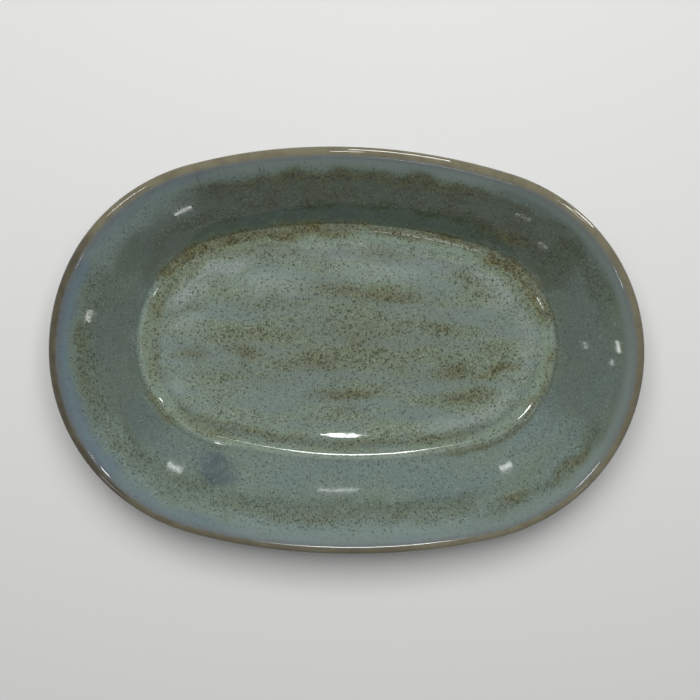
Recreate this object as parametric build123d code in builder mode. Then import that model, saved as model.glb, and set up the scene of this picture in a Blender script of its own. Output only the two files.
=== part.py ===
from build123d import *
import os
from math import acos, atan2, cos, degrees, radians, sin, tan

# Oval suiban: a shallow stoneware basin for low flower arrangements, made as one fired vessel.
# A floor slab carries a leaning wall, a coil fills their inside corner, a foot ring lifts the slab
# off the table, and one coat of glaze covers all but the foot.
# Millimetres, +Z up, +X along the dish. The origin is on the table under the middle of the dish.

os.makedirs("parts", exist_ok=True)

# Overall size, over the glaze
length = 330.0
width = 230.0
height = 50.0
side_radius = 320.0  # plan radius of the long sides at the rim; the ends follow from it

# Thicknesses
glaze = 0.8
lip_thickness = 6.0  # over the glaze
wall_thickness = 6.5
floor_thickness = 7.5

# The inside, from the rim inwards: a shoulder, the wall, a bead, a channel, a crest, the floor
shoulder_run = 7.0
shoulder_angle = 8.0
wall_run = 37.0
bead_run = 2.4  # wall to the crown of the bead
bead_fall = 3.2  # crown of the bead to the channel
channel_run = 2.4  # level bottom of the channel
crest_run = 5.4  # channel to the top of the crest
cove_run = 8.0  # top of the crest to the floor
crest_rise = 1.9  # top of the crest above the floor
channel_depth = 0.9  # channel below the top of the crest
bead_rise = 1.6  # crown of the bead above the channel
crease_rise = 2.0  # foot of the wall above the channel

# Roundings
shoulder_flat = 0.2  # straight part of the shoulder; the rest of it is rounded into the wall
bead_radius = 4.0
pool_radius = 5.5  # glaze pooled in the channel
crest_radius = 5.0
cove_radius = 22.0  # crest into the floor
outer_radius = 12.0  # underside of the lip into the outside wall
heel_radius = 6.0  # outside wall into the underside

# Foot ring
foot_height = 6.0
foot_width = 9.0
foot_setback = 4.5  # from the corner under the wall to the outside of the foot
foot_rounding = 1.5

# The plan is a four-centred oval: two end arcs and two side arcs that meet in line with each other.
# An inset oval keeps the four centres, so each ring of the dish has the same distance to the rim.
half_length = length / 2
half_width = width / 2
side_centre = side_radius - half_width
end_radius = (half_width * (side_radius + side_centre) - half_length**2) / (2 * (side_radius - half_length))
end_centre = half_length - end_radius
end_angle = degrees(atan2(side_centre, end_centre))
side_angle = 90 - end_angle

# Levels
slab_underside = foot_height
floor_level = slab_underside + floor_thickness
crest_level = floor_level + crest_rise
channel_level = crest_level - channel_depth
bead_level = channel_level + bead_rise
crease_level = channel_level + crease_rise

# The inside of the clay, as points of (inset from the rim's outer edge, height)
lip_radius = lip_thickness / 2 - glaze
lip_centre = Vector(lip_thickness / 2, height - lip_thickness / 2)
shoulder_slope = radians(shoulder_angle)
lip_inner = lip_centre + Vector(sin(shoulder_slope), cos(shoulder_slope)) * lip_radius
knee = Vector(shoulder_run, lip_inner.Y - (shoulder_run - lip_inner.X) * tan(shoulder_slope))
crease = Vector(shoulder_run + wall_run, crease_level)
bead = Vector(crease.X + bead_run, bead_level)
coil_edge = Vector(bead.X + bead_fall, channel_level)
channel = Vector(coil_edge.X + channel_run, channel_level)
crest = Vector(channel.X + crest_run, crest_level)
cove = Vector(crest.X + cove_run, floor_level)
cove_reach = cove_radius * tan(atan2(crest_rise, cove_run) / 2)
floor_edge = Vector(cove.X + cove_reach + glaze, floor_level)

# The wall goes on behind the coil down to the slab, and its outside is parallel to its inside
wall_slope = atan2(knee.Y - crease.Y, crease.X - knee.X)
knee_reach = (knee - lip_inner).length - shoulder_flat
knee_radius = knee_reach / tan((wall_slope - shoulder_slope) / 2)
wall_foot = Vector(crease.X + crease_rise / tan(wall_slope), channel_level)
wall_heel = wall_foot - Vector(wall_thickness / sin(wall_slope), 0)
slab_corner = Vector(wall_heel.X + (channel_level - slab_underside) / tan(wall_slope), slab_underside)
outer_knee = knee - Vector(sin(wall_slope), cos(wall_slope)) * wall_thickness

# The shoulder and the outside both leave the round lip in line with it
lip_to_knee = outer_knee - lip_centre
lip_turn = acos(lip_radius / lip_to_knee.length)
outer_bearing = atan2(lip_to_knee.Y, lip_to_knee.X) - lip_turn
lip_outer = lip_centre + Vector(cos(outer_bearing), sin(outer_bearing)) * lip_radius
lip_start = 90 - shoulder_angle
lip_sweep = (degrees(outer_bearing) - lip_start) % 360

# The foot ring stands in from the corner under the wall
foot_outer = slab_corner.X + foot_setback
foot_inner = foot_outer + foot_width

# Sections are drawn at the +X end: across the page is the inset from the rim, up the page is height
section = Plane(origin=(half_length, 0, 0), x_dir=(-1, 0, 0), z_dir=(0, 1, 0))


def draw_oval(inset):
    """Draw the oval that lies this far inside the rim, as one closed line from its +X end."""
    end = end_radius - inset
    side = side_radius - inset
    CenterArc((end_centre, 0), end, 0, end_angle)
    CenterArc((0, -side_centre), side, end_angle, 2 * side_angle)
    CenterArc((-end_centre, 0), end, 180 - end_angle, 2 * end_angle)
    CenterArc((0, side_centre), side, 180 + end_angle, 2 * side_angle)
    CenterArc((end_centre, 0), end, -end_angle, end_angle)


def draw_inside():
    """Draw the inside of the clay, from the lip down the wall and over bead and crest to the floor."""
    FilletPolyline(
        lip_inner,
        knee,
        crease,
        bead,
        coil_edge,
        channel,
        crest,
        cove,
        floor_edge,
        radius=[knee_radius, 0, bead_radius, 0, 0, crest_radius, cove_radius],
    )


def draw_lip():
    """Draw the rounded top of the clay, from the shoulder over to the outside."""
    CenterArc(lip_centre, lip_radius, lip_start, lip_sweep)


with BuildLine() as rim_path:
    draw_oval(0)

# Floor slab: a swept edge with a level rim, a crest and a cove, round a flat middle
with BuildPart() as floor_slab:
    with BuildSketch(section):
        with BuildLine():
            FilletPolyline(
                wall_heel,
                channel,
                crest,
                cove,
                floor_edge,
                (floor_edge.X, slab_underside),
                slab_corner,
                radius=[0, 0, crest_radius, cove_radius, 0, 0, heel_radius],
                close=True,
            )
        make_face()
    sweep(path=rim_path.line)
    with BuildSketch(Plane.XY.offset(slab_underside)):
        with BuildLine():
            draw_oval(floor_edge.X)
        make_face()
    extrude(amount=floor_thickness)
floor_slab.part.label = "floor_slab"
export_step(floor_slab.part, "parts/floor_slab.step")

# Flared wall: one strip that leans out all round, from the slab's rim up to the rounded lip
with BuildPart() as flared_wall:
    with BuildSketch(section):
        with BuildLine():
            FilletPolyline(lip_inner, knee, wall_foot, radius=[knee_radius])
            Line(wall_foot, wall_heel)
            FilletPolyline(wall_heel, outer_knee, lip_outer, radius=[outer_radius])
            draw_lip()
        make_face()
    sweep(path=rim_path.line)
flared_wall.part.label = "flared_wall"
export_step(flared_wall.part, "parts/flared_wall.step")

# Seam coil: fills the corner of wall and slab, with a round crown that shows as a bead
with BuildPart() as seam_coil:
    with BuildSketch(section):
        with BuildLine():
            FilletPolyline(crease, bead, coil_edge, wall_foot, radius=[0, bead_radius, 0, 0], close=True)
        make_face()
    sweep(path=rim_path.line)
seam_coil.part.label = "seam_coil"
export_step(seam_coil.part, "parts/seam_coil.step")

# Foot ring: a squared ring with rounded edges where it stands
with BuildPart() as foot_ring:
    with BuildSketch(section):
        with BuildLine():
            Polyline(
                (foot_outer, 0),
                (foot_inner, 0),
                (foot_inner, foot_height),
                (foot_outer, foot_height),
                close=True,
            )
        foot_face = make_face()
        fillet(foot_face.vertices().group_by(Axis.Y)[0], foot_rounding)
    sweep(path=rim_path.line)
foot_ring.part.label = "foot_ring"
export_step(foot_ring.part, "parts/foot_ring.step")

# Inside glaze: follows the clay from the lip to the floor, and pools in the channel
with BuildPart() as inside_glaze:
    with BuildSketch(section) as glaze_section:
        with BuildLine():
            draw_inside()
            offset(amount=glaze, side=Side.LEFT)
        make_face()
        surface_points = [point + Vector(0, glaze) for point in (coil_edge, channel)]
        pool_corners = [glaze_section.vertices().sort_by_distance(point)[0] for point in surface_points]
        fillet(pool_corners, pool_radius)
    sweep(path=rim_path.line)
    with BuildSketch(Plane.XY.offset(floor_level)):
        with BuildLine():
            draw_oval(floor_edge.X)
        make_face()
    extrude(amount=glaze)
inside_glaze.part.label = "inside_glaze"
export_step(inside_glaze.part, "parts/inside_glaze.step")

# Rim glaze: the thin line over the lip
with BuildPart() as rim_glaze:
    with BuildSketch(section):
        with BuildLine():
            draw_lip()
            offset(amount=glaze, side=Side.RIGHT)
        make_face()
    sweep(path=rim_path.line)
rim_glaze.part.label = "rim_glaze"
export_step(rim_glaze.part, "parts/rim_glaze.step")

# Outside glaze: from the lip down the wall and round the heel to the foot
with BuildPart() as outside_glaze:
    with BuildSketch(section):
        with BuildLine():
            FilletPolyline(
                lip_outer,
                outer_knee,
                slab_corner,
                (foot_outer, slab_underside),
                radius=[outer_radius, heel_radius],
            )
            offset(amount=glaze, side=Side.RIGHT)
        make_face()
    sweep(path=rim_path.line)
outside_glaze.part.label = "outside_glaze"
export_step(outside_glaze.part, "parts/outside_glaze.step")

# Base glaze: the underside within the foot ring
with BuildPart() as base_glaze:
    with BuildSketch(Plane.XY.offset(slab_underside)):
        with BuildLine():
            draw_oval(foot_inner)
        make_face()
    extrude(amount=-glaze)
base_glaze.part.label = "base_glaze"
export_step(base_glaze.part, "parts/base_glaze.step")
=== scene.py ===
# %% [markdown]
# # An oval suiban in celadon stoneware
# A suiban is a shallow basin for low flower arrangements. This one is oval, with a leaning wall,
# a bead and a channel round its floor, and a milky blue-green glaze that is freckled with iron.
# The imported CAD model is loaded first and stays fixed. Each of its eight pieces is then made again
# here as a finer mesh, with the slight unevenness of a pot that was built by hand.

# %% Load the frame
import bisect
import cmath
import math

import bpy
from mathutils import Matrix, Quaternion, Vector, noise


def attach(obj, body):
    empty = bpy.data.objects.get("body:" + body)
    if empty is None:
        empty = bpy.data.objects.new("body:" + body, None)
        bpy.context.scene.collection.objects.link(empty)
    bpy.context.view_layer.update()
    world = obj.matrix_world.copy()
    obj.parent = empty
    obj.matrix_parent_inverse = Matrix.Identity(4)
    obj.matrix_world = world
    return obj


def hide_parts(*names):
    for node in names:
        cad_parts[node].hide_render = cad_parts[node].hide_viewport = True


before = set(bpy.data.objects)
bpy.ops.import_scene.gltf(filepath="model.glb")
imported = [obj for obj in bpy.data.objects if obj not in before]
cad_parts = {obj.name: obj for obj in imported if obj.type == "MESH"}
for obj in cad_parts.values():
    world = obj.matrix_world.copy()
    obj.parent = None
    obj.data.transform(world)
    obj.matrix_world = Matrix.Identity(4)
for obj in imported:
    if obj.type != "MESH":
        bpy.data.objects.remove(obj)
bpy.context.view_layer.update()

# %% [markdown]
# ## The plan
# The rim is a four-centred oval: two tight end arcs and two wide side arcs that meet in line with
# each other. Every ring of the dish keeps the same four centres, so one walk round the rim gives
# the whole dish: at each stop we note the place, the way inwards, how far it is along that way to the
# long axis, and the way round the rim from the +X end. All sizes are in millimetres until the mesh
# is made.

# %% Walk round the rim
half_length = 165.0
half_width = 115.0
side_radius = 320.0
side_centre = side_radius - half_width
end_radius = (half_width * (side_radius + side_centre) - half_length**2) / (2 * (side_radius - half_length))
end_centre = half_length - end_radius
end_turn = math.atan2(side_centre, end_centre)


def walk_rim(end_steps, side_steps):
    """List (x, y, inward x, inward y, reach to the long axis, way round) for stops all round the rim."""
    arcs = [
        (end_centre, 0.0, end_radius, -end_turn, end_turn, end_steps),
        (0.0, -side_centre, side_radius, end_turn, math.pi - end_turn, side_steps),
        (-end_centre, 0.0, end_radius, math.pi - end_turn, math.pi + end_turn, end_steps),
        (0.0, side_centre, side_radius, math.pi + end_turn, 2 * math.pi - end_turn, side_steps),
    ]
    stops = []
    around = -end_radius * end_turn
    for centre_x, centre_y, radius, first, last, steps in arcs:
        for step in range(steps):
            turn = first + (last - first) * step / steps
            out_x, out_y = math.cos(turn), math.sin(turn)
            x, y = centre_x + radius * out_x, centre_y + radius * out_y
            reach = y / out_y if abs(out_y) > 1e-6 else end_radius
            stops.append((x, y, -out_x, -out_y, reach, around + radius * (turn - first)))
        around += radius * (last - first)
    return stops


rim_stops = walk_rim(end_steps=170, side_steps=110)
rim_length = 4 * (end_radius * end_turn + side_radius * (math.pi / 2 - end_turn))
print("stops round the rim:", len(rim_stops))
print("end radius:", round(end_radius, 2), "rim length:", round(rim_length, 1))

# %% [markdown]
# ## The section
# A potter would cut this profile from a card and check the wall against it. We draw it as a line of
# corners, each with its inset from the rim, its height and the radius that rounds it, and a complex
# number holds a point, because turning one is then a single multiplication. The glaze line is the
# clay line moved to its left by the thickness of the glaze.

# %% Lines with rounded corners
widest_turn = 0.1


def corner(point, radius=0.0):
    """Make a corner of a line: its inset, its height and the radius that rounds it."""
    return (point.real, point.imag, radius)


def run_to(line, end, step):
    """Go straight on from the line's last point to the end, in strides of about one step."""
    start = line[-1]
    strides = max(1, round(abs(end - start) / step))
    line.extend(start + (end - start) * stride / strides for stride in range(1, strides + 1))


def round_off(corners, step):
    """Make a smooth line of points from (inset, height, radius) corners."""
    points = [complex(inset, height) for inset, height, radius in corners]
    line = [points[0]]
    for before, point, after, (_, _, radius) in zip(points, points[1:], points[2:], corners[1:]):
        way_in = (point - before) / abs(point - before)
        way_out = (after - point) / abs(after - point)
        bend = cmath.phase(way_out / way_in)
        start = point - way_in * radius * math.tan(abs(bend) / 2)
        run_to(line, start, step)
        if radius:
            pivot = start + way_in * 1j * math.copysign(radius, bend)
            parts = max(3, round(abs(bend) / widest_turn), round(abs(bend) * radius / step))
            arm = start - pivot
            line.extend(pivot + arm * cmath.exp(1j * bend * part / parts) for part in range(1, parts + 1))
    run_to(line, points[-1], step)
    return line


def lift(corners, distance):
    """Move a line of corners to its left, and keep its roundings concentric."""
    points = [complex(inset, height) for inset, height, radius in corners]
    ways = [(b - a) / abs(b - a) for a, b in zip(points, points[1:])]
    lifted = []
    for point, (_, _, radius), way_in, way_out in zip(points, corners, ways[:1] + ways, ways + ways[-1:]):
        mitre = 1j * (way_in + way_out)
        moved = point + mitre * distance / (1 + (way_out / way_in).real)
        bend = cmath.phase(way_out / way_in)
        wider = radius - math.copysign(distance, bend) if radius else 0.0
        lifted.append((moved.real, moved.imag, max(wider, 0.0)))
    return lifted


sample = round_off([corner(0j), corner(2 + 0j, radius=1.0), corner(2 + 2j)], 0.5)
print("a rounded square corner takes", len(sample), "points")

# %% The inside of the clay
channel_level = 14.5
floor_level = 13.5
lip_centre = complex(3.0, 47.0)
lip_radius = 2.2
shoulder_slope = math.radians(8.0)
lip_inner = lip_centre + lip_radius * cmath.exp(1j * (math.pi / 2 - shoulder_slope))


def on_shoulder(inset):
    """Give the point of the shoulder's slope at an inset."""
    return complex(inset, lip_inner.imag - (inset - lip_inner.real) * math.tan(shoulder_slope))


knee = on_shoulder(7.0)
crease = complex(44.0, 16.5)
bead = complex(46.4, 16.1)
coil_edge = complex(49.6, channel_level)
slab_rim = complex(52.0, channel_level)
crest = complex(57.4, 15.4)
cove = complex(65.4, floor_level)
floor_edge = complex(68.8, floor_level)
clay_inside = [
    corner(lip_inner),
    corner(on_shoulder(4.7), radius=3.9),
    corner(crease),
    corner(bead, radius=4.0),
    corner(coil_edge),
    corner(slab_rim),
    corner(crest, radius=5.0),
    corner(cove, radius=22.0),
    corner(floor_edge),
]
print("corners of the inside:", len(clay_inside))

# %% [markdown]
# Glaze runs while it is hot. It fills the channel to one wide hollow and softens the crease, so its
# line leaves out the two corners of the channel, takes one dip between them and has its own radii.

# %% The inside of the glaze
glaze = 0.8
crease_number = 2
dip_number = 4
channel_dip = complex(50.2, 14.2)
glaze_inside = lift(clay_inside[:dip_number] + [corner(channel_dip)] + clay_inside[dip_number + 2 :], glaze)
for number, pooled in ((crease_number, 0.7), (dip_number, 10.0)):
    glaze_inside[number] = (*glaze_inside[number][:2], pooled)
print("the glaze in the channel is deepest at", [round(part, 2) for part in glaze_inside[dip_number][:2]])

# %% [markdown]
# The outside of the wall is parallel to its inside, and the foot ring stands in from the corner under
# it. Both sides leave the round lip in line with it.

# %% The outside
wall_thickness = 6.5
outer_radius = 12.0
heel_radius = 6.0
slab_underside = 6.0
foot_setback = 4.5
foot_width = 9.0

wall_way = (crease - knee) / abs(crease - knee)
wall_slope = -cmath.phase(wall_way)
wall_foot = complex(crease.real + (crease.imag - channel_level) / math.tan(wall_slope), channel_level)
wall_heel = complex(wall_foot.real - wall_thickness / math.sin(wall_slope), channel_level)
slab_run = (channel_level - slab_underside) / math.tan(wall_slope)
slab_corner = complex(wall_heel.real + slab_run, slab_underside)
outer_knee = knee - 1j * wall_way * wall_thickness
lip_to_knee = outer_knee - lip_centre
outer_bearing = cmath.phase(lip_to_knee) - math.acos(lip_radius / abs(lip_to_knee))
lip_outer = lip_centre + lip_radius * cmath.exp(1j * outer_bearing)
foot_outer = complex(slab_corner.real + foot_setback, slab_underside)
foot_inner = foot_outer + foot_width
clay_outside = [
    corner(lip_outer),
    corner(outer_knee, outer_radius),
    corner(slab_corner, heel_radius),
    corner(foot_outer),
]
glaze_outside = lift(clay_outside, -glaze)
print("wall slope:", round(math.degrees(wall_slope), 1))
print("foot ring from", round(foot_outer.real, 1), "to", round(foot_inner.real, 1))

# %% [markdown]
# ## The hand of the maker
# The real rim is not a perfect oval. It runs up to a millimetre out in some places and in at others,
# it rises and dips a little, and the glaze lies in slow waves that break up the reflections. On the
# near side a hand pushed the floor's edge in and pressed the bead flat, and the crest has a slight
# swell on each long side. The bead's own body, the height between the line with it and the line
# without it, is what that hand takes away. Every piece gets the same shifts, so clay and glaze stay
# nested.


# %% The pressed bead
def height_at(line, inset):
    """Read a line's height at an inset. Past its ends, the line goes on level."""
    number = min(max(bisect.bisect(line, inset, key=lambda point: point.real), 1), len(line) - 1)
    before, after = line[number - 1], line[number]
    share = min(max((inset - before.real) / (after.real - before.real), 0.0), 1.0)
    return before.imag + (after.imag - before.imag) * share


fine_step = 0.4
full_bead = round_off(glaze_inside, fine_step)
dip_inset, dip_height, _ = glaze_inside[dip_number]
pressed_dip = corner(complex(dip_inset - 0.6, dip_height), radius=8.0)
wall_corners = glaze_inside[: dip_number - 1]
floor_corners = glaze_inside[dip_number + 1 :]
no_bead = round_off(wall_corners + [pressed_dip] + floor_corners, fine_step)
bead_start = crease.real - 1.0
bead_places = [bead_start + step * fine_step / 2 for step in range(80)]
bead_body = [complex(inset, height_at(full_bead, inset) - height_at(no_bead, inset)) for inset in bead_places]
print("the bead stands up by", round(max(point.imag for point in bead_body), 2))

# %% Small shifts of the rim
# bearing in degrees, how far out, spread in degrees
rim_bulges = [
    (-140, 0.65, 28),
    (-85, -0.8, 28),
    (-28, 0.3, 18),
    (55, -0.3, 20),
    (122, 0.6, 25),
    (173, -0.75, 14),
]
# height, how many round the rim, where they start in radians
rim_waves = [(0.3, 2, 0.6), (0.2, 3, 2.1)]
full_shift_rise = 44.0


def shift_rim(x, y, height):
    """Give the outward and upward shift of a point, which fades towards the foot."""
    bearing = math.degrees(math.atan2(y, x))
    outward = 0.0
    for middle, amount, spread in rim_bulges:
        away = (bearing - middle + 180) % 360 - 180
        outward += amount * math.exp(-((away / spread) ** 2))
    turn = math.radians(bearing)
    upward = sum(rise * math.sin(count * turn + start) for rise, count, start in rim_waves)
    fade = min(max((height - slab_underside) / full_shift_rise, 0.0), 1.0)
    return outward * fade, upward * fade


end_shift = shift_rim(-half_length, 0.0, lip_centre.imag)
print("shift of the rim at the -X end:", [round(part, 2) for part in end_shift])

# %% Pressed by hand
# middle along the dish, side, height, spread along the dish, inset of the top
crest_swells = [(-1.0, -1, 0.34, 17.0, 55.0), (54.0, 1, 0.3, 18.0, 57.4)]
swell_spread = 4.0
push = 2.4
push_middle = 8.0
push_spread = 92.0
push_start = 6.0
push_fades = 54.0
push_end = 100.0
pressed_depth = 1.5
untouched_depth = 6.0


def soft_step(value, low, high):
    """Rise softly from 0 at low to 1 at high. High may be the smaller one."""
    share = min(max((value - low) / (high - low), 0.0), 1.0)
    return share * share * (3 - 2 * share)


def press_inside(x, y, inset, height):
    """Give the outward and upward shift of a point where a hand pressed the inside."""
    if inset <= push_start:
        return 0.0, 0.0
    depth = height_at(full_bead, inset) - height
    near_surface = soft_step(depth, untouched_depth, pressed_depth)
    outward = upward = 0.0
    for middle, side, amount, spread, top in crest_swells:
        if y * side > 0:
            away = ((x - middle) / spread) ** 2 + ((inset - top) / swell_spread) ** 2
            upward += near_surface * amount * math.exp(-away)
    if y < 0:
        pressed = near_surface * math.exp(-(((x - push_middle) / push_spread) ** 4))
        leaning = min((inset - push_start) / (crease.real - push_start), 1.0)
        outward -= push * pressed * leaning * soft_step(inset, push_end, push_fades)
        upward -= pressed * height_at(bead_body, inset)
    return outward, upward


near_shift = press_inside(push_middle, bead.real - half_width, bead.real, bead.imag + glaze)
print("shift of the near bead:", [round(part, 2) for part in near_shift])

# %% Slow waves: height, length
glaze_waves = [(0.006, 23.0), (0.001, 7.0)]


def ripple(x, y, height):
    """Give the wave of the glaze surface, in millimetres."""
    spot = Vector((x, y, height))
    return sum(rise * noise.noise(spot / length) for rise, length in glaze_waves)


print("wave in the middle of the floor:", round(ripple(0.0, 0.0, floor_level), 4))

# %% [markdown]
# ## Carry a section round the rim
# Each piece is one closed section carried round all the stops, a ring of points per stop. The flat
# floor goes on inwards to the long axis, where the rings of both sides meet and share their points,
# so no seam shows. Each point also keeps its way round the rim and its inset from it; the brush and
# the glaze nodes read that later, because glaze breaks and pools by its distance from the lip.


# %% Points of a section
def ring(line):
    """Mark a line's points as lying wholly outside the floor's flat middle."""
    return [(point.real, point.imag, 0.0) for point in line]


def across_floor(edge, parts):
    """List points that go level from an inset oval in to the long axis."""
    return [(edge.real, edge.imag, part / parts) for part in range(1, parts + 1)]


def glaze_normal(section, index, skin):
    """Give the way out of the glaze at a point of its skin, as inset and height."""
    ahead = section[min(index + 1, skin - 1)]
    behind = section[max(index - 1, 0)]
    way = complex(ahead[0] - behind[0], ahead[1] - behind[1]) or 1.0
    return 1j * way / abs(way)


# %% Carry the points
calm_points = 6


def carry(section, skin):
    """Carry a section to every stop. Give its points, their places by the rim and a row per stop."""
    numbers, points, places, rounds, rows = {}, [], [], [], []
    for stop, (rim_x, rim_y, in_x, in_y, reach, around) in enumerate(rim_stops):
        row = []
        for index, (inset, height, share) in enumerate(section):
            deep = inset + share * (reach - inset)
            x, y = rim_x + in_x * deep, rim_y + in_y * deep
            shifts = shift_rim(x, y, height), press_inside(x, y, deep, height)
            outward, upward = (sum(parts) for parts in zip(*shifts))
            if index < skin:
                calm = min(1.0, index / calm_points)
                wave = ripple(x, y, height) * calm * glaze_normal(section, index, skin)
                outward -= wave.real
                upward += wave.imag
            x, y = x - in_x * outward, y - in_y * outward
            on_axis = share == 1.0
            key = (round(x, 3), 0.0, index) if on_axis else (stop, index)
            if key not in numbers:
                numbers[key] = len(points)
                points.append((x / 1000, 0.0 if on_axis else y / 1000, (height + upward) / 1000))
                places.extend((rim_x, rim_y, deep))
                rounds.append(around)
            row.append(numbers[key])
        rows.append(row)
    return points, places, rounds, rows


def join(section, rows):
    """Join the points of each stop to those of the next."""
    faces = []
    for row, following in zip(rows, rows[1:] + rows[:1]):
        for index, (_, _, share) in enumerate(section):
            beyond = (index + 1) % len(section)
            if share == 1.0 and section[beyond][2] == 1.0:
                continue
            corners = list(dict.fromkeys((row[index], following[index], following[beyond], row[beyond])))
            if len(corners) > 2:
                faces.append(corners)
    return faces

# %% The sweep
sharp_angle = math.radians(40)


def sweep(name, section, skin=0):
    """Make a piece from a closed section. The first skin points ripple as the glaze does."""
    points, places, rounds, rows = carry(section, skin)
    faces = join(section, rows)
    mesh = bpy.data.meshes.new(name)
    mesh.from_pydata(points, [], faces)
    mesh.attributes.new("rim_place", "FLOAT_VECTOR", "POINT").data.foreach_set("vector", places)
    mesh.attributes.new("way_round", "FLOAT", "POINT").data.foreach_set("value", rounds)
    mesh.shade_smooth()
    mesh.set_sharp_from_angle(angle=sharp_angle)
    piece = bpy.data.objects.new(name, mesh)
    bpy.context.scene.collection.objects.link(piece)
    print(name, "points:", len(points), "faces:", len(faces))
    return piece


def stand_for(piece, node):
    """Let a piece take the place of its CAD node."""
    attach(piece, "root")
    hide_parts(node)


# %% [markdown]
# ## The glaze pieces
# Glaze is a thin glass coat, less than a millimetre thick. It could be only a material on the clay,
# but the CAD has it as solids, and its own surface is what pools in the channel and rounds the
# crease, so each coat is a closed shell: the glaze line on one side and the clay line on the other.

# %% Inside glaze
inside_step = 1.1
floor_parts = 18
hidden_step = 4.0
hidden_parts = 4
surface_edge = complex(glaze_inside[-1][0], floor_level + glaze)
surface = ring(round_off(glaze_inside, inside_step)) + across_floor(surface_edge, floor_parts)
underside = ring(round_off(clay_inside, hidden_step)) + across_floor(floor_edge, hidden_parts)
inside_coat = sweep("inside_coat", surface + underside[::-1], skin=len(surface))
stand_for(inside_coat, "inside_glaze")

# %% Rim glaze
lip_parts = 20
hidden_lip_parts = 8


def lip_arc(radius, parts):
    """Go over the lip from its outside to the shoulder."""
    first, last = outer_bearing + 2 * math.pi, math.pi / 2 - shoulder_slope
    turns = [first + (last - first) * part / parts for part in range(parts + 1)]
    return [lip_centre + radius * cmath.exp(1j * turn) for turn in turns]


lip_skin = lip_arc(lip_radius + glaze, lip_parts)
lip_clay = lip_arc(lip_radius, hidden_lip_parts)
lip_coat = sweep("lip_coat", ring(lip_skin) + ring(lip_clay)[::-1])
stand_for(lip_coat, "rim_glaze")

# %% Outside glaze
outside_step = 1.6
outside_skin = ring(round_off(glaze_outside, outside_step))
outside_coat = sweep("outside_coat", ring(round_off(clay_outside, hidden_step)) + outside_skin[::-1])
stand_for(outside_coat, "outside_glaze")

# %% Base glaze
base_parts = 12
base_edge = foot_inner - 1j * glaze
base_top = ring([foot_inner]) + across_floor(foot_inner, hidden_parts)
base_skin = ring([base_edge]) + across_floor(base_edge, base_parts)
base_coat = sweep("base_coat", base_top + base_skin[::-1])
stand_for(base_coat, "base_glaze")

# %% [markdown]
# ## The clay pieces
# Only the foot ring shows its bare clay. The slab, the wall and the coil are hidden under the glaze,
# and they are made in the same way so that they follow the same unevenness.

# %% Foot ring
foot_rounding = 1.5
foot_step = 1.5
foot_corners = [
    corner(foot_outer),
    corner(foot_inner),
    corner(complex(foot_inner.real, 0.0), foot_rounding),
    corner(complex(foot_outer.real, 0.0), foot_rounding),
    corner(foot_outer),
]
foot = sweep("foot", ring(round_off(foot_corners, foot_step)[:-1]))
stand_for(foot, "foot_ring")

# %% Floor slab
clay_step = 3.0
slab_number = 5
under_edge = complex(floor_edge.real, slab_underside)
slab_top = round_off([corner(wall_heel)] + clay_inside[slab_number:], clay_step)
slab_base = [corner(under_edge), corner(slab_corner, heel_radius), corner(wall_heel)]
slab_middle = across_floor(floor_edge, hidden_parts) + across_floor(under_edge, hidden_parts)[::-1]
slab = sweep("slab", ring(slab_top) + slab_middle + ring(round_off(slab_base, clay_step)[:-1]))
stand_for(slab, "floor_slab")

# %% Wall
wall_inside = round_off(clay_inside[:crease_number] + [corner(wall_foot)], clay_step)
wall_outside = round_off([corner(wall_heel), corner(outer_knee, outer_radius), corner(lip_outer)], clay_step)
wall = sweep("wall", ring(wall_inside) + ring(wall_outside) + ring(lip_clay[1:-1]))
stand_for(wall, "flared_wall")

# %% Seam coil
coil_step = 1.5
coil_line = round_off(clay_inside[crease_number:slab_number] + [corner(wall_foot)], coil_step)
coil = sweep("coil", ring(coil_line))
stand_for(coil, "seam_coil")

# %% [markdown]
# ## Sums with shader sockets
# A glaze is a stack of masks: where it is thin, where iron has bloomed, where it pooled. Wiring
# those by hand makes a web that nobody can read, so one small class wraps a socket and lets Python
# write the sum. Each operator adds the Math node that it stands for, and one method makes any other
# node from its type, its settings and the values or links of its sockets.


# %% The wire class
class Wire:
    """A shader socket that takes part in Python sums."""

    def __init__(self, tree, socket=None):
        self.tree, self.socket = tree, socket

    def node(self, kind, settings, inputs, output=None):
        """Make a node: settings first, then values or links of its sockets."""
        made = self.tree.nodes.new(kind)
        for name, value in settings.items():
            if name == "stops":
                for index, (place, colour) in enumerate(value):
                    elements = made.color_ramp.elements
                    stop = elements[index] if index < len(elements) else elements.new(place)
                    stop.position, stop.color = place, colour
            else:
                setattr(made, name, value)
        for name, value in inputs.items():
            if isinstance(name, int):
                target = made.inputs[name]
            else:
                target = next(s for s in made.inputs if s.name == name and s.enabled)
            if isinstance(value, Wire):
                self.tree.links.new(value.socket, target)
            else:
                target.default_value = value
        shown = [s for s in made.outputs if s.enabled and output in (None, s.name)]
        return Wire(self.tree, shown[0] if shown else None)

    def also(self, output):
        """Take another output of the same node."""
        return Wire(self.tree, self.socket.node.outputs[output])

    def math(self, operation, *terms):
        """Add a Math node."""
        return self.node("ShaderNodeMath", {"operation": operation}, dict(enumerate(terms)))

    def __add__(self, other):
        return self.math("ADD", self, other)

    def __sub__(self, other):
        return self.math("SUBTRACT", self, other)

    def __rsub__(self, other):
        return self.math("SUBTRACT", other, self)

    def __mul__(self, other):
        return self.math("MULTIPLY", self, other)

    def __or__(self, other):
        return self.math("MAXIMUM", self, other)

    __radd__, __rmul__, __ror__ = __add__, __mul__, __or__


# %% [markdown]
# A few words for the masks that come up again and again: a soft edge between two values, a band with
# two soft edges, fine noise, and one colour laid over another.


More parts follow.
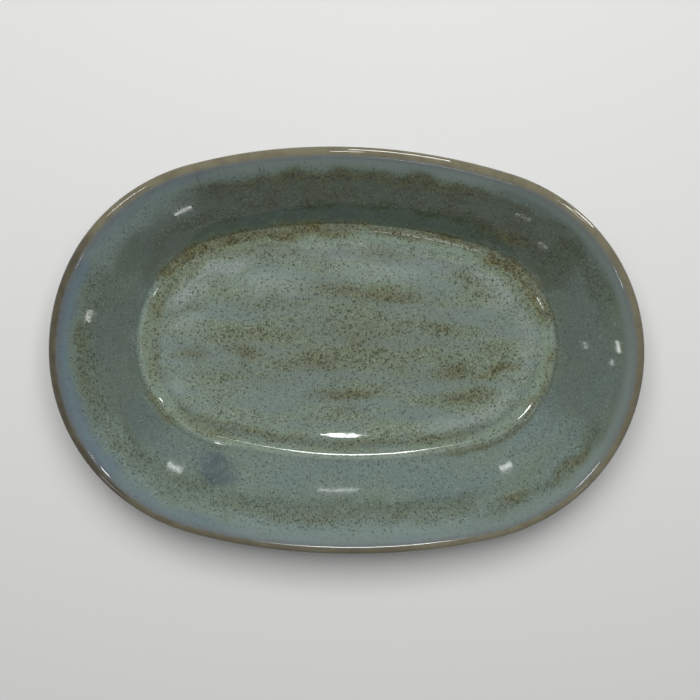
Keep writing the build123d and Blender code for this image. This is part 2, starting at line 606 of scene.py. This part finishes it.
# %% Words for masks
def ease(value, low, high):
    """Rise softly from 0 at low to 1 at high. High may be the smaller one."""
    settings = {"interpolation_type": "SMOOTHSTEP"}
    return value.node("ShaderNodeMapRange", settings, {"Value": value, "From Min": low, "From Max": high})


def band(value, low, high, soft):
    """Be 1 between low and high, with soft edges."""
    return ease(value, low - soft, low + soft) * ease(value, high + soft, high - soft)


def mottle(place, scale, detail=2.0, rough=0.55):
    """Make noise with this many lumps per millimetre."""
    inputs = {"Vector": place, "Scale": scale, "Detail": detail, "Roughness": rough}
    return place.node("ShaderNodeTexNoise", {}, inputs)


def stretch(place, x, y, z):
    """Scale a place differently each way."""
    return place.node("ShaderNodeVectorMath", {"operation": "MULTIPLY"}, {0: place, 1: (x, y, z)})


def lay(mask, under, over):
    """Lay one colour over another where the mask is 1."""
    return mask.node("ShaderNodeMix", {"data_type": "RGBA"}, {"Factor": mask, "A": under, "B": over})


def pigment(red, green, blue):
    """Turn a colour as seen on a screen, 0 to 255, into the light that it reflects."""
    shares = [part / 255 for part in (red, green, blue)]
    light = [share / 12.92 if share < 0.04045 else ((share + 0.055) / 1.055) ** 2.4 for share in shares]
    return (*light, 1.0)


print("mid grey reflects", round(pigment(128, 128, 128)[0], 3))

# %% Begin and end a material
glass_index = 1.5


def start_material(name):
    """Make an empty node material and its first places: in millimetres, and by the rim."""
    material = bpy.data.materials.new(name)
    material.use_nodes = True
    material.node_tree.nodes.clear()
    wire = Wire(material.node_tree)
    metres = wire.node("ShaderNodeTexCoord", {}, {}, "Object")
    place = stretch(metres, 1000.0, 1000.0, 1000.0)
    rim = wire.node("ShaderNodeAttribute", {"attribute_name": "rim_place"}, {}, "Vector")
    return material, place, rim


def finish_material(material, colour, roughness, relief, depth):
    """Join colour, gloss and relief to one shader. Depth is the relief's height in millimetres."""
    wire = Wire(material.node_tree)
    bump = wire.node("ShaderNodeBump", {}, {"Strength": 1.0, "Distance": depth / 1000, "Height": relief})
    inputs = {"Base Color": colour, "Roughness": roughness, "IOR": glass_index, "Normal": bump}
    shader = wire.node("ShaderNodeBsdfPrincipled", {}, inputs)
    wire.node("ShaderNodeOutputMaterial", {}, {"Surface": shader})
    print(material.name, "nodes:", len(material.node_tree.nodes))
    return material


# %% [markdown]
# ## Where the iron lies
# The glaze is a milky glass, and iron in it blooms to olive and brown freckles. A potter brushes it
# on, so it lies in strokes along the floor, in a ragged band below the rim and on the bead. Strokes
# are easiest to place on the mesh itself: a stroke on the floor is a soft oval on the plan,
# and a stroke on the wall is a belt, a stretch of the way round the rim between two insets. The brush
# wanders and skips by seeded noise, so it does the same each time. Each paint is kept on the points as
# a number from 0 to 1, and the nodes make freckles of it.

# %% The brush
soft_end = 14.0
soft_edge = 3.2
full_edge = 2.0


def oval(x, y, strength, middle_x, middle_y, along, across, turn):
    """Paint a soft oval on the plan."""
    local = complex(x - middle_x, y - middle_y) * cmath.exp(-1j * math.radians(turn))
    return strength * soft_step(math.hypot(local.real / along, local.imag / across), 1.25, 0.0)


def belt(around, inset, strength, first, last, low, high):
    """Paint a soft belt: from first to last on the way round, between two insets."""
    away = abs((around - (first + last) / 2 + rim_length / 2) % rim_length - rim_length / 2)
    beside = abs(inset - (low + high) / 2)
    reach, half = (last - first) / 2, (high - low) / 2
    if away > reach + soft_end or beside > half + soft_edge:
        return 0.0
    along = soft_step(away, reach + soft_end, reach - soft_end)
    return strength * along * soft_step(beside, half + soft_edge, half - full_edge)


print("a belt's strength 12 mm past its end:", round(belt(112.0, 5.0, 1.0, 0.0, 100.0, 0.0, 10.0), 3))

# %% The painter's hand
noise.seed_set(11)
ovals_start = 50.0
belts_end = 70.0
streak_length = 26.0
streak_width = 8.0
patch_length = 14.0
patch_height = 7.0
streak_layer = 7.0
wander_layer = 3.0
wander_size = 11.0
wander_along_floor = 6.0
wander_across_floor = 3.0
wander_along_wall = 8.0
wander_up_wall = 3.5


def skipping(x, y, rim_x, rim_y, inset):
    """Say how much the brush skips at a point: in streaks along the floor, in patches on the wall."""
    if inset > ovals_start:
        grain = Vector((x / streak_length, y / streak_width, streak_layer))
    else:
        grain = Vector((rim_x / patch_length, rim_y / patch_length, inset / patch_height))
    return soft_step(noise.noise(grain) + 0.7 * noise.noise(grain * 3.0), -0.5, 0.5)


def paint(piece, paints):
    """Keep paints on a piece's points. Each is (ovals, belts, how much the brush skips)."""
    amounts = {name: [] for name in paints}
    marks = piece.data.attributes
    for vertex, spot, way in zip(piece.data.vertices, marks["rim_place"].data, marks["way_round"].data):
        x, y = vertex.co.x * 1000, vertex.co.y * 1000
        rim_x, rim_y, inset = spot.vector
        wander = noise.noise_vector(Vector((x, y, wander_layer)) / wander_size)
        on_floor = (x + wander.x * wander_along_floor, y + wander.y * wander_across_floor)
        on_wall = (way.value + wander.x * wander_along_wall, inset + wander.z * wander_up_wall)
        skip = skipping(x, y, rim_x, rim_y, inset)
        for name, (ovals, belts, ragged) in paints.items():
            touches = [0.0]
            if inset > ovals_start:
                touches += [oval(*on_floor, *stroke) for stroke in ovals]
            if inset < belts_end:
                touches += [belt(*on_wall, *stroke) for stroke in belts]
            amounts[name].append(max(touches) * (1.0 - ragged * skip))
    for name, values in amounts.items():
        marks.new(name, "FLOAT", "POINT").data.foreach_set("value", values)
    print(piece.name, {name: round(sum(values) / len(values), 3) for name, values in amounts.items()})


# %% Strokes on the floor: strength, middle, half length, half width, turn
floor_strokes = [
    (0.36, 16.0, 4.0, 95.0, 36.0, 0.0),
    (0.85, 14.0, 31.0, 46.0, 7.5, -3.0),
    (0.40, -40.0, 24.0, 38.0, 7.0, 6.0),
    (0.60, 54.0, 12.5, 20.0, 5.5, -9.0),
    (0.50, -45.0, 6.0, 48.0, 8.0, 2.0),
    (0.75, -57.0, -5.0, 14.0, 7.0, -8.0),
    (0.65, -88.0, -6.0, 12.0, 7.0, 0.0),
    (0.50, -92.0, 19.0, 12.0, 5.0, 10.0),
    (0.75, -16.0, -10.0, 34.0, 8.0, 4.0),
    (0.60, 0.0, 4.0, 22.0, 9.0, 0.0),
    (0.85, 60.0, -13.0, 22.0, 8.0, 12.0),
    (0.85, 84.0, -14.0, 21.0, 4.2, 22.0),
    (0.80, 2.0, -28.0, 29.0, 5.5, 3.0),
    (0.75, 68.0, -28.0, 26.0, 5.5, 10.0),
    (0.45, -1.0, -37.0, 14.0, 4.5, 0.0),
    (0.30, -55.0, -20.0, 44.0, 8.0, -2.0),
    (0.40, 86.0, 1.0, 18.0, 7.0, 0.0),
    (0.40, 75.0, 38.0, 30.0, 10.0, -25.0),
    (0.50, 18.0, 54.0, 34.0, 6.0, 0.0),
    (0.35, -40.0, 53.0, 40.0, 5.0, 0.0),
]
# painted reflection: soft white glows of lamps on the floor near its edge, laid as colour
painted_glow_pools = [
    (0.75, 5.0, 53.0, 13.0, 8.0, 0.0),
    (1.00, 87.0, 37.0, 10.0, 7.0, -40.0),
    (0.55, 86.0, 29.0, 12.0, 8.0, 0.0),
    (0.45, 104.0, 4.0, 9.0, 14.0, 0.0),
    (0.60, -86.0, 35.0, 14.0, 7.0, 40.0),
    (0.40, -90.0, 12.0, 12.0, 10.0, 0.0),
    (0.35, -95.0, -26.0, 10.0, 10.0, 0.0),
    (0.50, -45.0, 36.0, 30.0, 10.0, 0.0),
    (0.45, 22.0, 44.0, 36.0, 8.0, 0.0),
]
print("strokes of iron:", len(floor_strokes), "milky pools:", len(painted_glow_pools))

# %% Belts of iron: strength, first and last on the way round, low and high inset
dark_belts = [
    (0.85, 36.0, 98.0, 12.0, 22.0),
    (0.55, 95.0, 140.0, 14.0, 25.0),
    (1.00, 140.0, 300.0, 13.5, 19.0),
    (0.75, 150.0, 300.0, 19.0, 27.0),
    (0.80, 290.0, 328.0, 14.0, 22.0),
    (0.60, 400.0, 514.0, 13.5, 25.0),
    (0.65, 62.0, 150.0, 23.0, 41.0),
    (0.55, 512.0, 600.0, 15.0, 26.0),
    (0.55, 600.0, 765.0, 15.0, 24.0),
    (0.70, 768.0, 862.0, 12.0, 18.0),
    (1.00, 92.0, 360.0, 27.0, 34.0),
    (0.60, 135.0, 385.0, 43.5, 47.5),
    (0.70, 745.0, 860.0, 44.0, 47.0),
]
golden_belts = [
    (0.45, 145.0, 290.0, 14.0, 18.0),
    (1.00, 112.0, 135.0, 31.0, 35.0),
    (1.00, 34.0, 135.0, 44.0, 52.0),
    (0.45, 34.0, 135.0, 51.0, 56.0),
    (1.00, 135.0, 227.0, 44.0, 48.5),
    (1.00, 227.0, 385.0, 44.0, 51.0),
    (0.60, 270.0, 400.0, 50.0, 57.0),
    (0.65, 382.0, 430.0, 49.0, 56.0),
    (0.45, 430.0, 500.0, 49.0, 56.0),
    (0.95, 505.0, 549.0, 43.5, 46.5),
    (0.60, 545.0, 605.0, 48.0, 53.0),
    (0.45, 746.0, 850.0, 43.5, 46.5),
    (0.80, 840.0, 907.0, 44.5, 47.5),
    (0.25, 410.0, 500.0, 14.0, 20.0),
    (0.50, 519.0, 535.0, 15.0, 18.0),
    (0.35, 606.0, 760.0, 17.0, 21.0),
    (1.00, 781.0, 798.0, 15.5, 18.5),
    (0.65, 819.0, 851.0, 12.0, 15.5),
    (0.45, 560.0, 790.0, 53.0, 57.0),
]
print("dark belts:", len(dark_belts), "golden belts:", len(golden_belts))

# %% Belts of glass and of painted shade, light and glow: strength, first and last on the way round, low and high inset
blue_belts = [
    (0.85, 395.0, 545.0, 3.5, 10.5),
    (0.5, 545.0, 620.0, 4.0, 10.0),
    (0.35, 300.0, 400.0, 5.5, 9.5),
    (0.1, 620.0, 800.0, 5.5, 9.5),
    (0.3, 505.0, 600.0, 30.0, 42.0),
    (0.15, 170.0, 300.0, 35.5, 41.5),
]
# painted shade: a darker slate on the walls that face away from the lamp, most on the far wall and above its
# crease, where the glaze is also a little thicker
painted_shade_belts = [
    (0.95, 60.0, 325.0, 14.0, 36.0),
    (0.75, 325.0, 400.0, 18.0, 36.0),
    (0.88, 60.0, 400.0, 34.0, 42.0),
    (0.5, 400.0, 540.0, 25.0, 42.0),
    (0.5, -50.0, 60.0, 15.0, 42.0),
    (0.5, -70.0, 60.0, 5.0, 16.0),
    (0.5, 50.0, 140.0, 5.0, 16.0),
]
# painted light: a paler glaze on the rim shoulder and on the -Y wall, which face the lamp
painted_light_belts = [
    (1.0, 150.0, 300.0, 5.0, 9.0),
    (0.6, 318.0, 400.0, 9.0, 20.0),
    (0.3, 405.0, 500.0, 9.0, 13.0),
    (0.6, 500.0, 612.0, 5.0, 22.0),
    (1.0, 612.0, 765.0, 5.0, 20.0),
    (0.5, 765.0, 850.0, 6.0, 20.0),
    (0.3, 600.0, 850.0, 27.0, 43.0),
]
# painted reflection: the same soft glows of lamps along the crest
painted_glow_ring = [
    (0.35, -40.0, 70.0, 59.0, 64.0),
    (1.0, 70.0, 140.0, 58.0, 64.0),
    (0.4, 140.0, 290.0, 58.0, 64.0),
    (0.85, 290.0, 400.0, 58.0, 64.0),
    (0.1, 400.0, 600.0, 59.0, 64.0),
    (0.5, 740.0, 850.0, 58.0, 64.0),
]
smoke_belts = [(1.0, 588.0, 606.0, 27.0, 40.0)]
brown_lip = [
    (1.0, 385.0, 560.0, -5.0, 6.0),
    (0.5, 560.0, 720.0, -5.0, 6.0),
    (0.35, 860.0, 930.0, -5.0, 6.0),
]
hairlines = [(1.0, 240.0, 320.0, 6.0, 24.0), (0.5, 150.0, 200.0, 8.0, 18.0)]
seam_lines = [(0.6, 60.0, 600.0, 41.0, 45.5), (1.0, 745.0, 960.0, 41.0, 45.5)]
print("blue belts:", len(blue_belts), "slate belts:", len(painted_shade_belts), "pale belts:", len(painted_light_belts))

# %% Paint the inside and the lip
paints = {
    "dark_iron": (floor_strokes, dark_belts, 0.4),
    "golden_iron": (floor_strokes, golden_belts, 0.4),
    # painted reflection
    "painted_glow": (painted_glow_pools, painted_glow_ring, 0.3),
    # painted light
    "pale": ([], painted_light_belts, 0.2),
    "blue": ([], blue_belts, 0.3),
    # painted shade
    "painted_shade": ([], painted_shade_belts, 0.2),
    "smoke": ([], smoke_belts, 0.3),
    "brown_lip": ([], brown_lip, 0.3),
    "hairlines": ([], hairlines, 0.5),
    "seam_line": ([], seam_lines, 0.3),
}
for coat in (inside_coat, lip_coat):
    paint(coat, paints)

# %% [markdown]
# ## Celadon with iron freckles
# Up close, every freckle is a dot about a millimetre wide, and there are thousands. Voronoi cells
# scatter such dots: each cell has one point and its own random colour, and that colour says whether
# the point gets a dot and how wide it is. The thicker the iron, the more points get one; in the blue
# by the lip there are few. Dots are a dark green in plain glass and brown where the iron is golden.
# Between them lie pale flecks where the glass is clear. One network serves the inside and the lip,
# so the colours run on from one to the other.

# %% Colours of the glaze
wall_blue = pigment(104, 121, 117)
wall_green = pigment(108, 124, 110)
floor_blue = pigment(117, 133, 127)
floor_green = pigment(122, 137, 116)
# painted shade: the dark slate for walls that face away from the lamp
painted_shade_slate = pigment(71, 82, 65)
smoke_blue = pigment(66, 79, 86)
# painted reflection: the white of the soft glows of lamps
painted_glow_white = pigment(164, 176, 172)
pool_green = pigment(130, 147, 127)
rim_blue = pigment(84, 101, 116)
rim_sky = pigment(104, 127, 134)
rim_grey = pigment(118, 131, 128)
# painted light: the paler glaze where the lamp falls
painted_light_celadon = pigment(127, 145, 139)
lip_buff = pigment(116, 112, 90)
lip_tan = pigment(100, 92, 72)
lip_brown = pigment(71, 66, 50)
lip_mauve = pigment(94, 94, 100)
olive_ground = pigment(71, 78, 49)
golden_ground = pigment(104, 99, 46)
clear_fleck = pigment(154, 166, 154)
golden_fleck = pigment(140, 132, 72)
green_dot = pigment(47, 56, 41)
brown_dot = pigment(46, 40, 20)
print("green of the floor reflects", [round(part, 3) for part in floor_green[:3]])


# %% Dots
def kept(place, name):
    """Read a paint that was kept on the points."""
    return place.node("ShaderNodeAttribute", {"attribute_name": name}, {}, "Fac")


def dots(place, scale, share, width):
    """Scatter dots. Share is how many cells get one, width how wide the widest is."""
    away = place.node("ShaderNodeTexVoronoi", {}, {"Vector": place, "Scale": scale}, "Distance")
    lot = away.node("ShaderNodeSeparateXYZ", {}, {0: away.also("Color")}, "X")
    return ease(away - (lot + share - 1.0) * width, 0.14, -0.06)


def freckle(place, ground, dark, golden, clear):
    """Lay flecks and freckles on a ground. Clear is how many there are where no iron lies."""
    iron = dark | golden
    shiver = place.node("ShaderNodeTexNoise", {}, {"Vector": place, "Scale": 0.9, "Detail": 1.0}, "Color")
    settings = {"operation": "MULTIPLY_ADD"}
    shiver = shiver.node("ShaderNodeVectorMath", settings, {0: shiver, 1: (1.4, 1.4, 1.4), 2: place})
    ground = lay(dark * 0.58, ground, olive_ground)
    ground = lay(golden * 0.7, ground, golden_ground)
    fleck = dots(shiver, 0.75, clear + iron * 0.2, 0.6)
    fleck_colour = lay(golden, clear_fleck, golden_fleck)
    ground = lay(fleck * (clear - 0.35) * (1.0 - dark * 0.6), ground, fleck_colour)
    dot_colour = lay(golden, green_dot, brown_dot)
    grain = ease(mottle(place, 0.7, 2.0), 0.52, 0.3)
    ground = lay(grain * clear * 0.4, ground, dot_colour)
    narrow = dots(shiver, 1.25, clear + iron * 0.5, 0.6)
    ground = lay(narrow * (0.4 + iron * 0.3), ground, dot_colour)
    wide = dots(shiver, 0.66, clear + iron * 0.35, 0.55)
    return lay(wide * (0.62 + iron * 0.25), ground, dot_colour), wide


# %% The milky glass
def milky_glass(place, rim, inset, edge, floor, greenish):
    """Colour the glass, blue-grey to green-grey, with its belts and bands, painted shade and light, painted
    glows and a painted bead highlight.
    """
    wall_clouds = mottle(stretch(rim, 0.015, 0.015, 0.06), 1.0, 4.0)
    wall_colour = lay(ease(wall_clouds, 0.35, 0.65), wall_blue, wall_green)
    colour = lay(floor, wall_colour, lay(greenish, floor_blue, floor_green))
    # painted shade: slate where the wall faces away from the lamp
    colour = lay(kept(place, "painted_shade") * 0.9, colour, painted_shade_slate)
    # painted light: paler where the rim shoulder and the -Y wall face the lamp
    colour = lay(kept(place, "pale") * 0.7, colour, painted_light_celadon)
    colour = lay(kept(place, "smoke") * 0.9, colour, smoke_blue)
    colour = lay(band(edge, 4.0, 9.5, 2.0) * 0.6, colour, rim_grey)
    blue = kept(place, "blue")
    colour = lay(blue * 0.85, colour, rim_blue)
    colour = lay(blue * band(edge, 7.5, 10.5, 2.0) * 0.7, colour, rim_sky)
    seam = band(edge, 42.8, 44.0, 0.8) * kept(place, "seam_line")
    colour = lay(seam * 0.7, colour, olive_ground)
    colour = lay(band(inset, 46.0, 52.5, 1.5) * 0.68, colour, pool_green)
    # painted highlight: a pale line along the bead's crown, where a lamp glints
    bead_highlight = band(edge, 45.6, 47.2, 0.8) * (0.32 - kept(place, "golden_iron") * 0.2)
    colour = lay(bead_highlight, colour, clear_fleck)
    # painted reflection: soft glows of lamps on the floor and the crest
    return lay(kept(place, "painted_glow") * 0.75, colour, painted_glow_white)


# %% The lip and the skin of the glass
def brown_lip_over(colour, place, edge):
    """Lay the lip over a colour: buff, darker brown at the -X end, with a mauve edge."""
    buff = lay(ease(mottle(place, 0.12, 3.0), 0.4, 0.65) * 0.6, lip_buff, lip_tan)
    buff = lay(kept(place, "brown_lip"), buff, lip_brown)
    colour = lay(ease(edge, 7.6, 4.8) * 0.5, colour, lip_mauve)
    return lay(ease(edge, 5.6, 3.4), colour, buff)


def pitted_skin(place, edge, floor, dot):
    """Give the glass small pits and a slight orange peel."""
    pits = place.node("ShaderNodeTexVoronoi", {}, {"Vector": place, "Scale": 0.45}, "Distance")
    peel = mottle(place, 0.35, 1.0) * (0.05 + floor * 0.35) + mottle(place, 1.1, 0.0) * floor * 0.35
    pitted = ease(edge, 8.0, 14.0) * 0.15 + floor * 0.85
    return peel + (ease(pits, 0.05, 0.2) * 0.4 - dot * 0.15) * pitted


# %% The celadon network
def inside_celadon(name):
    """Build the glaze of the inside and the lip."""
    material, place, rim = start_material(name)
    inset = rim.node("ShaderNodeSeparateXYZ", {}, {0: rim}, "Z")
    edge = inset + (mottle(place, 0.3, 2.0) - 0.5) * 1.2
    floor = ease(inset, 46.0, 58.0)
    greenish = ease(mottle(stretch(place, 0.016, 0.08, 0.0), 1.0, 4.0), 0.35, 0.65)
    dark, golden = kept(place, "dark_iron"), kept(place, "golden_iron")
    colour = milky_glass(place, rim, inset, edge, floor, greenish)

    # fewer freckles on the wall than on the floor, fewer in the painted glow and the painted shade, and
    # hardly any in the blue by the lip
    clear = 0.7 + floor * (greenish * 0.3 - 0.06) - kept(place, "painted_glow") * 0.1
    clear = clear - ease(edge, 13.0, 9.0) * 0.28 - kept(place, "painted_shade") * (1.0 - dark) * 0.2
    colour, dot = freckle(place, colour, dark * (1.0 - floor * 0.6), golden, clear)

    # thin dark hairlines run down from the lip
    hair = ease(mottle(stretch(rim, 0.6, 0.6, 0.06), 1.0, 1.0), 0.4, 0.3)
    colour = lay(hair * kept(place, "hairlines") * 0.6, colour, green_dot)
    colour = brown_lip_over(colour, place, edge)

    # iron dulls the gloss
    roughness = 0.028 + dot * 0.06 + golden * (dot * 0.3 + 0.04)
    relief = pitted_skin(place, edge, floor, dot)
    return finish_material(material, colour, roughness, relief, 0.014)


inside_coat.data.materials.append(inside_celadon("celadon_inside"))
lip_coat.data.materials.append(inside_celadon("celadon_lip"))

# %% [markdown]
# ## The outside and the base
# The same glaze on the outside has no brush marks. It breaks to brown under the lip, runs a little
# towards the foot and is thickest at the heel.


# %% Outside glaze network
def outside_celadon(name):
    """Build the glaze of the outside and the base."""
    material, place, rim = start_material(name)
    height = place.node("ShaderNodeSeparateXYZ", {}, {0: place}, "Z")
    clouds = mottle(place, 0.035, 3.0)
    runs = mottle(stretch(rim, 0.06, 0.06, 0.012), 1.0, 3.0)
    colour = lay(ease(clouds, 0.38, 0.62), wall_blue, wall_green)
    colour = lay(ease(runs, 0.45, 0.65) * 0.5, colour, wall_blue)
    colour = lay(ease(height, 16.0, 6.0) * 0.6, colour, pool_green)
    dark = band(height + (clouds - 0.5) * 16.0, 30.0, 41.0, 5.0) * runs
    colour, dot = freckle(place, colour, dark, dark * ease(clouds, 0.4, 0.6) * 0.6, 0.4)
    colour = lay(ease(height + (mottle(place, 0.3) - 0.5) * 2.0, 43.0, 45.0), colour, lip_buff)
    relief = mottle(place, 0.5, 1.0) * 0.6 + runs * 0.6 - dot * 0.15
    return finish_material(material, colour, 0.11 + dot * 0.1, relief, 0.06)


outside_coat.data.materials.append(outside_celadon("celadon_outside"))
base_coat.data.materials.append(outside_celadon("celadon_base"))

# %% [markdown]
# ## Bare stoneware
# The foot is wiped clean before firing, so the dish doesn't stick to the kiln shelf. Fired bare, the
# clay is matt and sandy, toasted a little redder next to the glaze and worn pale where it stands.

# %% Colours of the clay
warm_clay = pigment(152, 124, 94)
pale_clay = pigment(178, 152, 120)
toasted_clay = pigment(140, 92, 60)
worn_clay = pigment(196, 178, 150)
dark_sand = pigment(110, 84, 60)
dark_grog = pigment(84, 70, 58)
print("toasted clay reflects", [round(part, 3) for part in toasted_clay[:3]])


# %% Stoneware network
def bare_stoneware(name):
    """Build the fired clay."""
    material, place, _ = start_material(name)
    height = place.node("ShaderNodeSeparateXYZ", {}, {0: place}, "Z")
    clouds = mottle(place, 0.06, 3.0)
    sand = mottle(place, 1.6, 3.0, 0.75)
    grog = place.node("ShaderNodeTexVoronoi", {}, {"Vector": place, "Scale": 0.6}, "Distance")
    stops = [(0.35, warm_clay), (0.65, pale_clay)]
    colour = clouds.node("ShaderNodeValToRGB", {"stops": stops}, {"Fac": clouds}, "Color")
    colour = lay(ease(height + (clouds - 0.5) * 4.0, 2.0, 6.0) * 0.7, colour, toasted_clay)
    colour = lay(ease(sand, 0.58, 0.7) * 0.5, colour, dark_sand)
    colour = lay(ease(grog, 0.16, 0.08) * 0.7, colour, dark_grog)
    colour = lay(ease(height, 0.7, 0.0) * ease(sand, 0.4, 0.6) * 0.6, colour, worn_clay)
    relief = sand * 0.7 + ease(grog, 0.08, 0.2) * 0.4
    return finish_material(material, colour, 0.72 + sand * 0.2, relief, 0.12)


clay = bare_stoneware("bare_stoneware")
for piece in (foot, slab, wall, coil):
    piece.data.materials.append(clay)

# %% [markdown]
# ## Floor and light
# A plain pale floor carries the dish. One broad soft lamp, up and behind, lights it. The glaze is
# glossy, so each highlight is a picture of a lamp: small ones stand round the dish that show only in
# the gloss. Those for the wall are thin strips, tilted so that the glint lies along the wall, and one
# stands close behind the far lip, too low for the near lip to show it. The world is dim, so the
# browns stay deep, and pale where it is looked at directly.

# %% Floor
ground_size = 60.0
paper_white = (0.8, 0.8, 0.79, 1.0)
bpy.ops.mesh.primitive_plane_add(size=ground_size)
ground = bpy.context.object
ground.name = "ground"
ground_material = bpy.data.materials.new("ground_paper")
ground_material.use_nodes = True
ground_shader = ground_material.node_tree.nodes["Principled BSDF"]
ground_shader.inputs["Base Color"].default_value = paper_white
ground_shader.inputs["Roughness"].default_value = 0.9
ground.data.materials.append(ground_material)
print("the floor is", ground_size, "metres wide")

# %% Lamps
dish_middle = Vector((0.0, 0.0, 0.03))


def lamp(name, azimuth, elevation, distance, width, height, radiance, tilt=0.0):
    """Set a flat lamp that faces the dish. Radiance is how bright it looks, tilt lifts its right side."""
    light = bpy.data.lights.new(name, "AREA")
    light.shape, light.size, light.size_y = "RECTANGLE", width, height
    light.energy = radiance * math.pi * width * height
    turn, rise = math.radians(azimuth), math.radians(elevation)
    way = Vector((math.cos(rise) * math.cos(turn), math.cos(rise) * math.sin(turn), math.sin(rise)))
    holder = bpy.data.objects.new(name, light)
    bpy.context.scene.collection.objects.link(holder)
    holder.visible_camera = False
    holder.location = way * distance + dish_middle
    facing = way.to_track_quat("Z", "Y") @ Quaternion((0.0, 0.0, 1.0), math.radians(tilt))
    holder.rotation_euler = facing.to_euler()
    print(name, "watts:", round(light.energy, 2))
    return holder


soft_lamp = lamp("soft_lamp", azimuth=90.0, elevation=65.0, distance=1.4, width=0.9, height=0.7, radiance=9.5)
soft_lamp.visible_glossy = False

# %% Glints: name, azimuth, elevation, distance, width, height, radiance, tilt
glints = [
    ("key", 91.2, 71.0, 2.5, 0.12, 0.3, 27.0),
    ("near_right", 27.0, 59.0, 1.2, 0.05, 0.065, 26.0),
    ("near_left", 155.0, 60.0, 1.2, 0.08, 0.12, 26.0),
    ("lip_right", 37.0, 52.5, 1.2, 0.07, 0.18, 26.0),
    ("lip_left", 147.0, 59.0, 1.2, 0.09, 0.12, 26.0),
    ("far_right", 63.9, 31.85, 1.2, 0.16, 0.003, 20.0, 2.2),
    ("far_left", 115.5, 32.6, 1.2, 0.13, 0.003, 20.0, -2.2),
    ("end_right", -25.5, 21.4, 1.2, 0.09, 0.003, 22.0, 10.8),
    ("end_left", -161.0, 23.45, 1.2, 0.09, 0.003, 22.0, -14.0),
    ("end_left_low", -161.9, 21.2, 1.2, 0.066, 0.003, 9.0, -14.0),
    ("end_left_spot", -167.5, 24.3, 1.2, 0.045, 0.002, 16.0, -14.0),
    ("low_right", -48.5, 47.0, 1.2, 0.08, 0.035, 24.0),
    ("low_left", -131.5, 47.5, 1.2, 0.1, 0.05, 26.0),
    ("top_right", -103.5, 10.3, 1.2, 0.11, 0.002, 5.0, -10.9),
    ("top_right_low", -115.3, 11.75, 1.2, 0.08, 0.002, 6.0, -13.0),
    ("top_left", -78.1, 11.0, 1.2, 0.13, 0.003, 12.0, 9.2),
    ("far", 89.7, 32.3, 1.2, 0.045, 0.003, 9.0),
    ("rim_right", 38.0, 12.0, 1.2, 0.16, 0.3, 28.0),
    ("rim_back", 80.5, 23.4, 0.353, 0.11, 0.06, 22.0),
    ("bead_far", -92.3, 40.5, 1.2, 0.045, 0.04, 13.0),
]
for name, *setting in glints:
    lamp(name + "_glint", *setting).visible_diffuse = False

# %% World
world = bpy.data.worlds.new("studio")
bpy.context.scene.world = world
world.use_nodes = True
world.node_tree.nodes.clear()
sky = Wire(world.node_tree)
seen_by = ("Is Camera Ray", "Is Glossy Ray", "Is Transmission Ray")
in_view, in_gloss, in_glass = (sky.node("ShaderNodeLightPath", {}, {}, ray) for ray in seen_by)
dim = 0.1
pale = 0.55
strength = dim + (in_view | in_gloss | in_glass) * (pale - dim)
shine = sky.node("ShaderNodeBackground", {}, {"Color": (1.0, 1.0, 1.0, 1.0), "Strength": strength})
sky.node("ShaderNodeOutputWorld", {}, {"Surface": shine})
print("the world gives", dim, "and looks like", pale)

# %% [markdown]
# ## Camera
# The view is from above, about eleven degrees off the vertical, through a lens of about 70 mm from
# three quarters of a metre. The camera leans towards +Y and keeps +Y up in the picture, so it is
# set by its three axes and not by a track to the dish.

# %% Place the camera
lean, roll = math.radians(10.6), math.radians(1.435)
aim = Vector((2.2, 3.85, 47.0)) / 1000
back = Vector((0.0, math.sin(lean), math.cos(lean)))
right = Vector((math.cos(roll), math.sin(roll) * math.cos(lean), -math.sin(roll) * math.sin(lean)))
up = back.cross(right)
camera_distance = 0.75
spot = aim + back * camera_distance
camera_data = bpy.data.cameras.new("camera")
camera_data.lens = 69.74
camera = bpy.data.objects.new("camera", camera_data)
bpy.context.scene.collection.objects.link(camera)
camera.matrix_world = Matrix.Translation(spot) @ Matrix((right, up, back)).transposed().to_4x4()
bpy.context.scene.camera = camera
bpy.context.scene.view_settings.view_transform = "Standard"
print("camera at", [round(part, 3) for part in spot])
